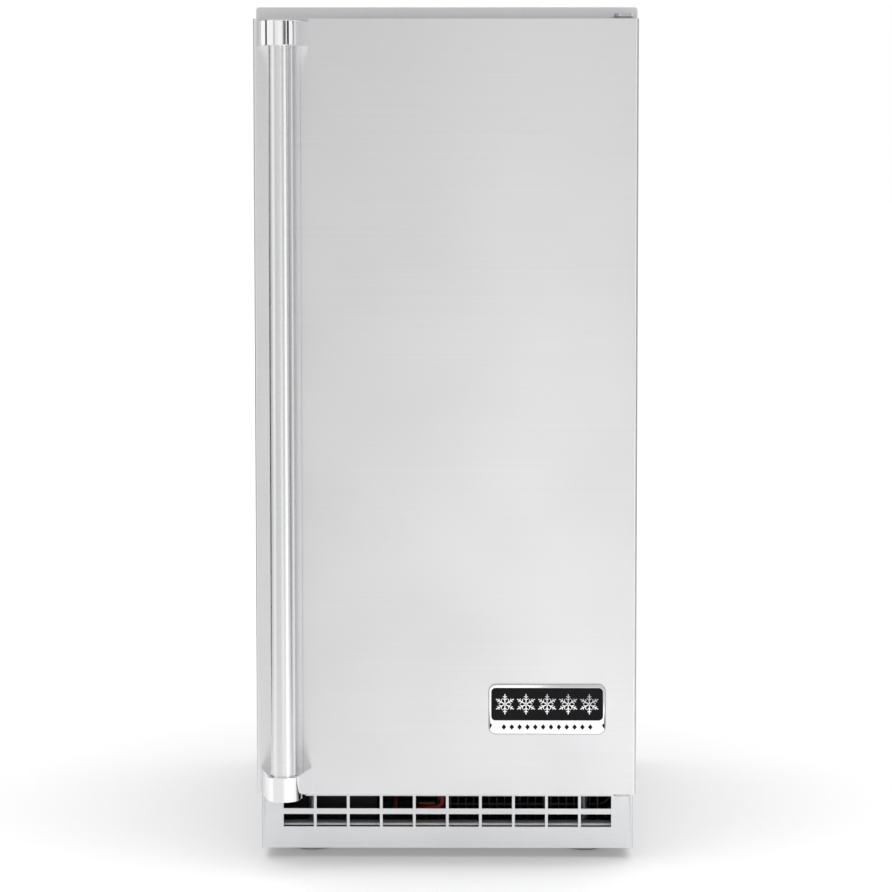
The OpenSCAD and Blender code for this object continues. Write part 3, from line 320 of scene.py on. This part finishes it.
# The finish and the edge rounding, in millimetres, of each CAD node. Those that a finer piece stands
# for below have theirs too.
CAD_FINISH = {
    "left_side_panel": ("sheet_steel", 0.4), "right_side_panel": ("sheet_steel", 0.4),
    "top_panel": ("lid_steel", 0.4), "back_panel": ("zinc", 0.3), "rear_service_panel": ("zinc", 0.3),
    # The base pan's chassis finish is painted shade of the machine bay.
    "front_frame": ("frame_steel", 0.3), "kick_plate": ("kick_steel", 0.3), "base_pan": ("chassis", 0.3),
    "cabinet_screws": ("chrome", 0.2), "cabinet_insulation": ("foam", 0), "bin_liner": ("white_abs", 0.8),
    "upper_hinge": ("zinc", 0.3), "lower_hinge": ("zinc", 0.3),
    "freeze_shroud": ("white_abs", 0.8), "evaporator_plate": ("copper", 0.4),
    "evaporator_coil": ("copper", 0), "ice_chute": ("white_abs", 0.6), "spray_manifold": ("white_abs", 0.3),
    "water_sump": ("white_abs", 0.8), "water_pump": ("grey_plastic", 0.5), "curtain_rod": ("chrome", 0.3),
    "curtain": ("clear", 0.3), "control_fascia": ("white_abs", 0.8), "power_button": ("grey_plastic", 0.6),
    "clean_button": ("grey_plastic", 0.6), "interior_lamp": ("lens", 0.8), "bin_thermostat": ("copper", 0.4),
    "scoop_holder": ("white_abs", 0.8), "scoop": ("scoop_clear", 0.6), "bin_drain": ("white_abs", 0.4),
    "drain_hose": ("hose", 0), "compressor": ("black_enamel", 0),
    "compressor_grommets": ("black_rubber", 0.8),
    # The condenser's fins and the fan shroud's chassis finish carry painted shade of the machine bay.
    "terminal_cover": ("black_plastic", 1.5), "condenser": ("fins", 0), "fan_shroud": ("chassis", 0.3),
    "condenser_fan": ("black_plastic", 0.4), "fan_motor": ("zinc", 0.6), "refrigerant_lines": ("copper", 0),
    "water_inlet_valve": ("blue_plastic", 0.6), "water_fill_line": ("hose", 0),
    # The electrical box's chassis finish is painted shade of the machine bay.
    "electrical_box": ("chassis", 0.5), "wire_harness": ("wire", 0), "cord_gland": ("black_plastic", 0.5),
    "leveler_front_left": ("zinc", 0), "leveler_front_right": ("zinc", 0),
    "leveler_rear_left": ("zinc", 0), "leveler_rear_right": ("zinc", 0),
    "door_skin": ("stainless", 0.3), "door_end_caps": ("grey_plastic", 0.4), "door_insulation": ("foam", 0),
    "door_liner": ("white_abs", 0.8), "door_gasket": ("gasket", 0.8), "door_bushes": ("grey_plastic", 0.2),
    "handle_tube": ("tube_chrome", 0), "handle_bracket_upper": ("chrome", 0.6),
    "handle_bracket_lower": ("chrome", 0.6), "handle_screws": ("dark_steel", 0.2),
    "badge_plate": ("chrome", 0.4), "badge_inset": ("badge_black", 0.2),
}
SMOOTH_ANGLE = math.radians(32)
WELD_DISTANCE = 0.01 * MM
CAD_BEVEL_STEPS = 2
FLAT_WEIGHT = 80


def finish_cad_node(name, finish, rounding):
    """Gives a CAD node its material, joins its loose faces and rounds its sharp edges."""
    node = NODES[name]
    node.data.materials.clear()
    node.data.materials.append(M[finish])
    for face in node.data.polygons:
        face.material_index = 0
    weld = node.modifiers.new("join", "WELD")
    weld.merge_threshold = WELD_DISTANCE
    if rounding:
        bevel = node.modifiers.new("rounding", "BEVEL")
        bevel.width = rounding * MM
        bevel.segments = CAD_BEVEL_STEPS
        bevel.limit_method = "ANGLE"
        bevel.angle_limit = SMOOTH_ANGLE
        bevel.harden_normals = False
        flat = node.modifiers.new("flat_shading", "WEIGHTED_NORMAL")
        flat.mode = "FACE_AREA"
        flat.weight = FLAT_WEIGHT
        flat.keep_sharp = True


for node_name, (node_finish, node_rounding) in CAD_FINISH.items():
    finish_cad_node(node_name, node_finish, node_rounding)


# ---- Pieces modelled here in place of the CAD nodes ----

def rounded_outline(width, height, radius, steps=6):
    """The corners of a rounded rectangle about the origin, anticlockwise."""
    points = []
    for quarter, (sx, sy) in enumerate(((1, 1), (-1, 1), (-1, -1), (1, -1))):
        for i in range(steps + 1):
            a = math.pi / 2 * (quarter + i / steps)
            points.append((sx * (width / 2 - radius) + radius * math.cos(a),
                           sy * (height / 2 - radius) + radius * math.sin(a)))
    return points


def circle_outline(x, y, radius, steps=64):
    turns = [2 * math.pi * i / steps for i in range(steps)]
    return [(x + radius * math.cos(a), y + radius * math.sin(a)) for a in turns]


def prism(bm, outline, low, high, turn=Matrix.Identity(4), hole=None, depth=0.0):
    """A prism along local Z, with a blind hole in its upper face where an outline for one is given."""
    under = [bm.verts.new(turn @ Vector((x, y, low))) for x, y in outline]
    over = [bm.verts.new(turn @ Vector((x, y, high))) for x, y in outline]
    n = len(outline)
    bm.faces.new(list(reversed(under)))
    for i in range(n):
        j = (i + 1) % n
        bm.faces.new((under[i], under[j], over[j], over[i]))
    if hole is None:
        bm.faces.new(over)
        return
    rim = [bm.verts.new(turn @ Vector((x, y, high))) for x, y in hole]
    floor = [bm.verts.new(turn @ Vector((x, y, high - depth))) for x, y in hole]
    m = len(hole)
    edges = [bm.edges.get((over[i], over[(i + 1) % n])) for i in range(n)]
    edges += [bm.edges.new((rim[i], rim[(i + 1) % m])) for i in range(m)]
    bmesh.ops.triangle_fill(bm, edges=edges, use_beauty=True)
    for i in range(m):
        j = (i + 1) % m
        bm.faces.new((rim[i], rim[j], floor[j], floor[i]))
    bm.faces.new(floor)


def lathe(bm, profile, steps=64, turn=Matrix.Identity(4)):
    """A turned solid about local Z from (radius, height) pairs, closed wherever the radius is nought."""
    rings = []
    for radius, height in profile:
        count = 1 if radius == 0 else steps
        rings.append([bm.verts.new(turn @ Vector((radius * math.cos(2 * math.pi * i / steps),
                                                  radius * math.sin(2 * math.pi * i / steps), height)))
                      for i in range(count)])
    for a, b in zip(rings, rings[1:]):
        for i in range(steps):
            j = (i + 1) % steps
            corners = [a[i % len(a)], a[j % len(a)], b[j % len(b)], b[i % len(b)]]
            bm.faces.new(list(dict.fromkeys(corners)))


def piece(name, bm, finish, body, nodes=(), rounding=0.0, segments=3):
    """Makes an object from the mesh, finished, with rounded edges and riding on its body."""
    bmesh.ops.recalc_face_normals(bm, faces=bm.faces)
    mesh = bpy.data.meshes.new(name)
    bm.to_mesh(mesh)
    bm.free()
    mesh.shade_smooth()
    mesh.set_sharp_from_angle(angle=SMOOTH_ANGLE)
    mesh.materials.append(M[finish])
    made = bpy.data.objects.new(name, mesh)
    bpy.context.scene.collection.objects.link(made)
    if rounding:
        bevel = made.modifiers.new("rounding", "BEVEL")
        bevel.width = rounding * MM
        bevel.segments = segments
        bevel.limit_method = "ANGLE"
        bevel.angle_limit = SMOOTH_ANGLE
        bevel.harden_normals = True
    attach(made, body)
    if nodes:
        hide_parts(*nodes)
    return made


TUBE_STEPS = 96
NOSE_STEPS = 144
TUBE_EDGE = 0.6 * MM
BRACKET_FOOT = 2.5 * MM
SOCKET_GAP = 0.5 * MM
SOCKET_DEPTH = 4 * MM


def make_handle():
    """The tube, and the two brackets whose noses it sinks into."""
    axis = middle(tube_lo, tube_hi)
    radius = (tube_hi.x - tube_lo.x) / 2
    turn = Matrix.Translation((axis.x, axis.y, 0))
    edge = TUBE_EDGE
    bm = bmesh.new()
    lathe(bm, [(0, tube_lo.z), (radius - edge, tube_lo.z), (radius, tube_lo.z + edge),
               (radius, tube_hi.z - edge), (radius - edge, tube_hi.z), (0, tube_hi.z)],
          TUBE_STEPS, turn)
    piece("handle_bar", bm, "tube_chrome", "door", ["handle_tube"])

    for node in ("handle_bracket_upper", "handle_bracket_lower"):
        lo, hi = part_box(node)
        half = (hi.x - lo.x) / 2
        nose = axis.y - lo.y
        foot = door_lo.y - BRACKET_FOOT
        reach = foot - axis.y
        away = math.hypot(half, reach)
        tangent = math.atan2(reach, half) - math.acos(nose / away)
        sweep = math.pi + 2 * tangent
        angles = [tangent - sweep * i / NOSE_STEPS for i in range(NOSE_STEPS + 1)]
        arc = [(nose * math.cos(a), axis.y + nose * math.sin(a)) for a in angles]
        outline = [(-half, foot), (-half, door_lo.y), (half, door_lo.y), (half, foot), *arc]
        hole = circle_outline(0, axis.y, radius + SOCKET_GAP)
        up = node.endswith("lower")
        flip = Matrix.Identity(4) if up else Matrix.Scale(-1, 4, Vector((0, 0, 1)))
        low, high = (lo.z, hi.z) if up else (-hi.z, -lo.z)
        bm = bmesh.new()
        turned = Matrix.Translation((middle(lo, hi).x, 0, 0)) @ flip
        prism(bm, outline, low, high, turned, hole, SOCKET_DEPTH)
        piece(node + "_polished", bm, "chrome", "door", [node], 0.7)


make_handle()


def make_badge():
    """A plated frame round a dark field with a row of ice crystals, over a line of small studs."""
    facing = Matrix.Rotation(math.pi / 2, 4, "X")
    place = middle(badge_lo, badge_hi)
    field = middle(inset_lo, inset_hi)

    def at(centre):
        return Matrix.Translation((centre.x, 0, centre.z)) @ facing

    width, height = badge_hi.x - badge_lo.x, badge_hi.z - badge_lo.z
    inner_w, inner_h = inset_hi.x - inset_lo.x, inset_hi.z - inset_lo.z
    shift = field.z - place.z
    bm = bmesh.new()
    hole = [(x, y + shift) for x, y in rounded_outline(inner_w + 0.4 * MM, inner_h + 0.4 * MM, 4 * MM)]
    prism(bm, rounded_outline(width, height, 7 * MM), -badge_hi.y, -badge_lo.y, at(place), hole,
          -badge_lo.y + inset_hi.y)
    piece("badge_frame", bm, "chrome", "door", ["badge_plate"], 0.8)

    # A grey pad just larger than the plate, behind it, paints the thin shadow line round the badge.
    bm = bmesh.new()
    shadow_line_outline = rounded_outline(width + 1.2 * MM, height + 1.2 * MM, 7.6 * MM)
    prism(bm, shadow_line_outline, -badge_hi.y, -badge_hi.y + 0.6 * MM, at(place))
    piece("badge_shadow_line", bm, "gasket", "door")

    bm = bmesh.new()
    prism(bm, rounded_outline(inner_w, inner_h, 4 * MM), -inset_hi.y, -inset_lo.y, at(field))
    piece("badge_field", bm, "badge_black", "door", ["badge_inset"], 0.2)

    face = -inset_lo.y
    arm = inner_h * 0.31
    count = 5
    bm = bmesh.new()
    for n in range(count):
        centre = Vector((field.x + (n - (count - 1) / 2) * inner_w * 0.19, 0, field.z))
        for spoke in range(6):
            spin = at(centre) @ Matrix.Rotation(math.radians(60 * spoke + 30), 4, "Z")
            thick = 0.45 * MM
            bar = [(0, -thick), (arm, -thick), (arm + 0.5 * MM, 0), (arm, thick), (0, thick)]
            prism(bm, bar, face - 0.1 * MM, face + 0.4 * MM, spin)
            for out, length in ((0.42, 0.30), (0.68, 0.22)):
                for side in (-1, 1):
                    lean = Matrix.Rotation(side * math.pi / 3, 4, "Z")
                    twig = spin @ Matrix.Translation((arm * out, 0, 0)) @ lean
                    thin, tip = 0.35 * MM, arm * length
                    bar = [(0, -thin), (tip, -thin), (tip, thin), (0, thin)]
                    prism(bm, bar, face - 0.1 * MM, face + 0.37 * MM, twig)
    piece("badge_crystals", bm, "chrome", "door")

    bm = bmesh.new()
    strip_z = (badge_lo.z + inset_lo.z) / 2
    studs = 12
    lozenge = [(2.4 * MM, 0), (0, 2.9 * MM), (-2.4 * MM, 0), (0, -2.9 * MM)]
    for n in range(studs):
        spot = Vector((field.x + (n - (studs - 1) / 2) * 7.8 * MM, 0, strip_z))
        prism(bm, lozenge, -badge_lo.y - 0.3 * MM, -badge_lo.y + 0.3 * MM, at(spot))
    piece("badge_studs", bm, "badge_black", "door")


make_badge()


def make_pan_rail():
    """The white rail along the chassis's front lip, which shows through the lower slots. Its white is a
    painted highlight that draws the bright lip line.
    """
    lo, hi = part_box("base_pan")
    low = kick_lo.z + 21.2 * MM
    high = low + 2.2 * MM
    out = lo.y - 7 * MM
    bm = bmesh.new()
    across = Matrix(((0, 0, 1, 0), (1, 0, 0, 0), (0, 1, 0, 0), (0, 0, 0, 1)))
    section = [(lo.y, low), (out, low + 0.3 * MM), (out, high), (lo.y, high)]
    prism(bm, section, lo.x + 2 * MM, hi.x - 2 * MM, across)
    piece("pan_rail", bm, "rail_painted_highlight", "cabinet", (), 0.2)


make_pan_rail()


def make_scoop():
    """A round-cornered channel with a slanted mouth, a closed back and a swelling grip above it."""
    lo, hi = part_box("scoop")
    grip, wall, corner, steps = 60 * MM, 2 * MM, 11 * MM, 8
    top = hi.z - grip
    slant_from, slant_rise = lo.x + 14 * MM, 52 * MM
    y_mid, half = (lo.y + hi.y) / 2, (hi.y - lo.y) / 2

    def channel(inset):
        """The walls' line from one side of the mouth, round the two back corners, to the other side."""
        r = corner - inset
        points = [(hi.x, half - inset)]
        for side in (1, -1):
            for i in range(steps + 1):
                a = math.pi / 2 * (1 + i / steps) if side > 0 else math.pi * (1 + i / steps / 2)
                points.append((lo.x + corner + r * math.cos(a), side * (half - corner) + r * math.sin(a)))
        points.append((hi.x, -half + inset))
        return [(x, y_mid + y) for x, y in points]

    outline = channel(0) + list(reversed(channel(wall)))
    bm = bmesh.new()
    under, over = [], []
    for x, y in outline:
        cut = lo.z + max(0, (x - slant_from) / (hi.x - slant_from)) * slant_rise
        under.append(bm.verts.new((x, y, cut)))
        over.append(bm.verts.new((x, y, top - wall / 2)))
    n = len(outline)
    for i in range(n):
        j = (i + 1) % n
        bm.faces.new((under[i], under[j], over[j], over[i]))
    for ring in (under, over):
        for i in range(n // 2 - 1):
            bm.faces.new((ring[i], ring[i + 1], ring[n - 2 - i], ring[n - 1 - i]))
    cap = channel(0)
    prism(bm, cap, top - wall, top)
    # The grip's radius and height above the bowl, in millimetres
    swell = [(0, -1), (6.4, -1), (7.4, 3), (6.2, 14), (7.6, 28), (8.7, 40), (8.9, 49), (7.6, 56),
             (4.2, 59.4), (0, 60)]
    stand = Matrix.Translation((lo.x + 12 * MM, y_mid, 0))
    lathe(bm, [(r * MM, top + z * MM) for r, z in swell], 40, stand)
    piece("ice_scoop", bm, "scoop_clear", "scoop", ["scoop"], 0.5, 2)


make_scoop()


# ---- Studio ----

def stage_plane(name, corners, material):
    mesh = bpy.data.meshes.new(name)
    mesh.from_pydata(corners, [], [(0, 1, 2, 3)])
    mesh.materials.append(material)
    plane = bpy.data.objects.new(name, mesh)
    bpy.context.scene.collection.objects.link(plane)
    return plane


def glow(name, level):
    material = bpy.data.materials.new(name)
    material.use_nodes = True
    tree = material.node_tree
    tree.nodes.clear()
    emission = tree.nodes.new("ShaderNodeEmission")
    emission.inputs["Color"].default_value = (1, 1, 1, 1)
    emission.inputs["Strength"].default_value = level
    output = tree.nodes.new("ShaderNodeOutputMaterial")
    tree.links.new(emission.outputs[0], output.inputs["Surface"])
    return material


def sloped_glow(name, axis, start, stop, first, last):
    """A glow that changes from first to last as the place on the axis goes from start to stop."""
    material = glow(name, 1.0)
    tree = material.node_tree
    place = tree.nodes.new("ShaderNodeSeparateXYZ")
    tree.links.new(tree.nodes.new("ShaderNodeTexCoord").outputs["Object"], place.inputs[0])
    level = tree.nodes.new("ShaderNodeMapRange")
    level.interpolation_type = "SMOOTHSTEP"
    for socket, value in zip(("From Min", "From Max", "To Min", "To Max"), (start, stop, first, last)):
        level.inputs[socket].default_value = value
    tree.links.new(place.outputs[axis], level.inputs["Value"])
    tree.links.new(level.outputs["Result"], tree.nodes["Emission"].inputs["Strength"])
    return material


def glossy_only(panel):
    panel.visible_camera = False
    panel.visible_diffuse = False
    panel.visible_shadow = False
    panel.visible_transmission = False


def around(azimuth, away, height):
    """A point at an azimuth, in degrees, round the handle. Azimuth 0 is in front and 90 to the right."""
    a = math.radians(azimuth)
    axis = middle(tube_lo, tube_hi)
    return axis.x + away * math.sin(a), axis.y - away * math.cos(a), height


def card(name, azimuths, heights, away, material):
    """An upright panel between two azimuths that only reflections see."""
    corners = [around(azimuths[i], away, heights[j]) for i, j in ((0, 0), (1, 0), (1, 1), (0, 1))]
    glossy_only(stage_plane(name, corners, material))


def floor_wedge(name, azimuths, near, away, material):
    """The part of the floor before an upright card, at the card's own brightness."""
    corners = [around(azimuths[i], r, WEDGE_Z) for i, r in ((0, near), (1, near), (1, away), (0, away))]
    glossy_only(stage_plane(name, corners, material))


FLOOR_HALF = 30.0
FLOOR_CARD_HALF = 6
FLOOR_CARD_Z = 0.001
WEDGE_Z = 0.0015
UNDER_CARD_Z = 0.008
UNDER_GLOW = 0.36
SUN_ENERGY = 1.0
SUN_SPREAD = math.radians(70)
SUN_TURN = (math.radians(38), 0, math.radians(6))
STRIP_HEIGHTS, STRIP_AWAY = (0.70, 1.15), 2.8
TALL_HEIGHTS, TALL_AWAY, WEDGE_NEAR = (0.02, 3.4), 3.0, 1.0
# The floor's own cards: name, nearest and furthest Y, and the glow at their right
FLOOR_CARDS = [("near", -0.45, -1.6, 1.42), ("far", -1.6, -9.0, 1.20)]
# From and to which azimuth round the handle, in degrees, and how bright. Both lists were chosen
# so that the reflections in the bracket and the tube follow the photograph's.
BRACKET_STRIPS = [
    (-152, -119, 1.0), (-118, -99, 0.02), (-98, -43, 1.0), (-42.5, -38.5, 0.4), (-38, -10, 0.9),
    (14, 22, 0.9), (22, 29.5, 0.5), (30, 37, 0.02), (37, 50, 0.35), (54, 69, 0.02), (70, 100, 1.0),
]
TUBE_CARDS = [
    (-152, -114, 0.05), (-112, -80, 0.64), (-60, -10, 0.64), (14, 34, 0.60),
    (36, 60, 1.25), (60, 72, 0.64), (72, 84, 0.40), (84, 112, 0.14),
]


def make_studio():
    half = FLOOR_HALF
    f = Finish("floor_white", (0.93, 0.93, 0.93), roughness=0.85)
    f.shades(f.noise(f.place, scale=3.0), 0.995, 1.0)
    corners = [(-half, -half, 0), (half, -half, 0), (half, half, 0), (-half, half, 0)]
    stage_plane("floor", corners, f.material)

    world = bpy.data.worlds.new("studio")
    world.use_nodes = True
    background = world.node_tree.nodes["Background"].inputs
    background["Color"].default_value = (1, 1, 1, 1)
    background["Strength"].default_value = 1.0
    bpy.context.scene.world = world

    data = bpy.data.lights.new("soft_sun", "SUN")
    data.energy = SUN_ENERGY
    data.angle = SUN_SPREAD
    light = bpy.data.objects.new("soft_sun", data)
    light.rotation_euler = SUN_TURN
    light.visible_glossy = False
    bpy.context.scene.collection.objects.link(light)

    for name, near, far, right in FLOOR_CARDS:
        side = FLOOR_CARD_HALF
        places = ((-side, far), (side, far), (side, near), (-side, near))
        corners = [(x, y, FLOOR_CARD_Z) for x, y in places]
        glossy_only(stage_plane(f"floor_card_{name}", corners,
                                sloped_glow(f"floor_glow_{name}", "X", -0.25, 0.25, 0.88, right)))
    # A weak glow under the cabinet stands for the light that the studio throws in there
    under = [(kick_lo.x, -kick_lo.x), (kick_lo.y + 5 * MM, cad_box[1][1] - 5 * MM)]
    corners = [(under[0][i], under[1][j], UNDER_CARD_Z) for i, j in ((0, 0), (1, 0), (1, 1), (0, 1))]
    bounce = stage_plane("under_card", corners, glow("under_glow", UNDER_GLOW))
    bounce.visible_camera = False
    bounce.visible_glossy = False
    bounce.visible_shadow = False
    sky = sloped_glow("sky_glow", "Z", 1.0, 1.9, 0.95, 0.15)
    card("upper_card", (-18, 18), (0.95, 4.5), 4.5, sky)
    # Narrow strips level with the camera draw the lines in the polished bracket
    for i, (low, high, level) in enumerate(BRACKET_STRIPS):
        card(f"strip_{i}", (low, high), STRIP_HEIGHTS, STRIP_AWAY, glow(f"strip_glow_{i}", level))
    # Tall cards shade the round tube and the sides, with the floor in front of them
    for i, (low, high, level) in enumerate(TUBE_CARDS):
        shade = glow(f"tall_glow_{i}", level)
        card(f"tall_{i}", (low, high), TALL_HEIGHTS, TALL_AWAY, shade)
        floor_wedge(f"wedge_{i}", (low, high), WEDGE_NEAR, TALL_AWAY, shade)


make_studio()
bpy.context.scene.view_settings.view_transform = "Standard"
